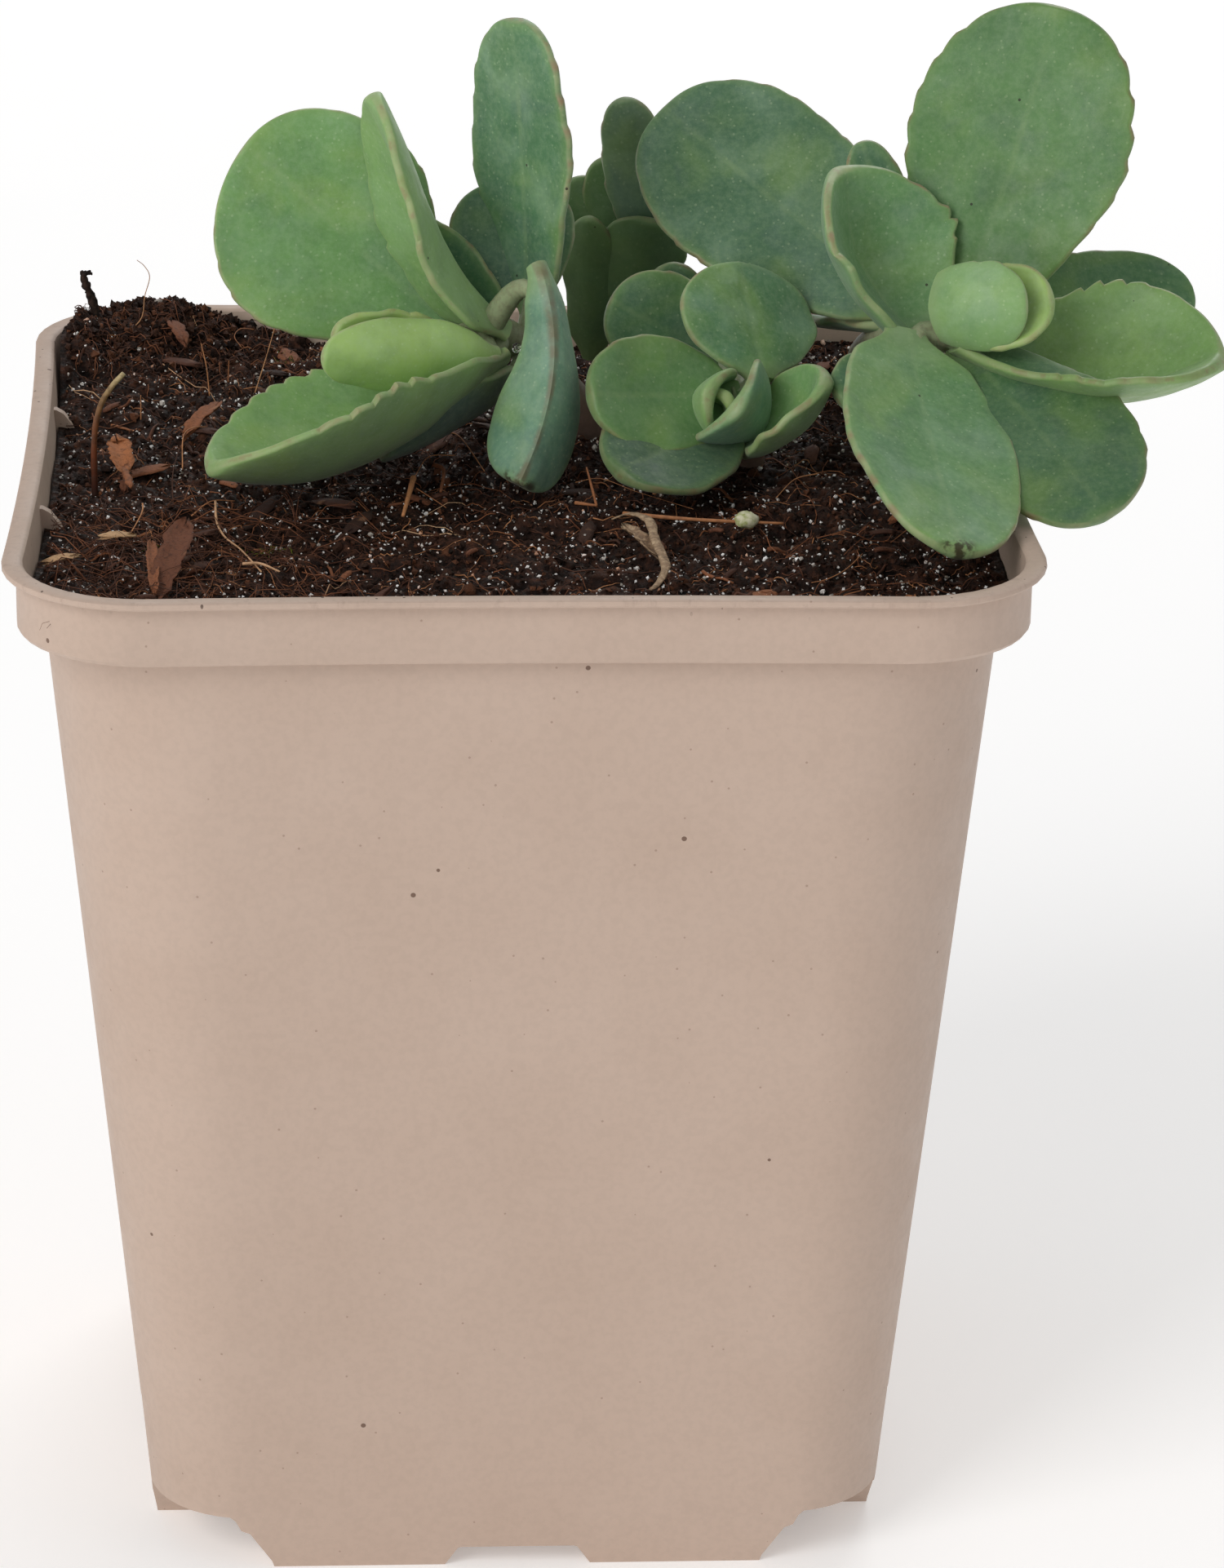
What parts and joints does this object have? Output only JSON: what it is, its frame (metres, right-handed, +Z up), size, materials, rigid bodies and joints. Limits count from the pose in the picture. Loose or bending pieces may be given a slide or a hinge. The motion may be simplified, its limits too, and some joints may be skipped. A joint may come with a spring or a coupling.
{
  "type": "potted sedum",
  "caption": "Small fleshy-leaved sedum with leaning shoots, rooted in peaty growing medium in a square plastic nursery pot.",
  "frame": {"origin": "on the surface the pot stands on, below the middle of the whole plant in its pot, which is 9.6 mm to the right of the pot's own middle", "axes": "+Z up; +X to the right along the pot's front side, the way the plant leans out; +Y from the front side to the back side"},
  "size_m": [0.109, 0.09, 0.1372],
  "materials": {
    "pot_plastic": "matt taupe moulded plastic, finely mottled, dusted with soil at the rim",
    "soil": "dark moist peat and bark fibre with grains of clear sand",
    "leaf": "waxy glaucous green leaf with a pale bloom and thin brownish margin",
    "leaf_dark": "waxy dark blue-green older leaf",
    "bark": "dry reddish-brown bark and stalk",
    "dark_wood": "rotten dark twig",
    "straw": "dry pale straw and root"
  },
  "bodies": {
    "root": {"pot": "pot_plastic", "growing_medium": "soil", "shoot_left": "leaf", "shoot_back": "leaf_dark", "shoot_front": "leaf", "shoot_right": "leaf", "brown_stalk": "bark", "dark_twig": "dark_wood", "seed_stalk": "straw", "pale_root": "straw", "bark_flake_long": "bark", "bark_flake_small": "bark", "dead_leaf": "bark"}
  },
  "joints": []
}
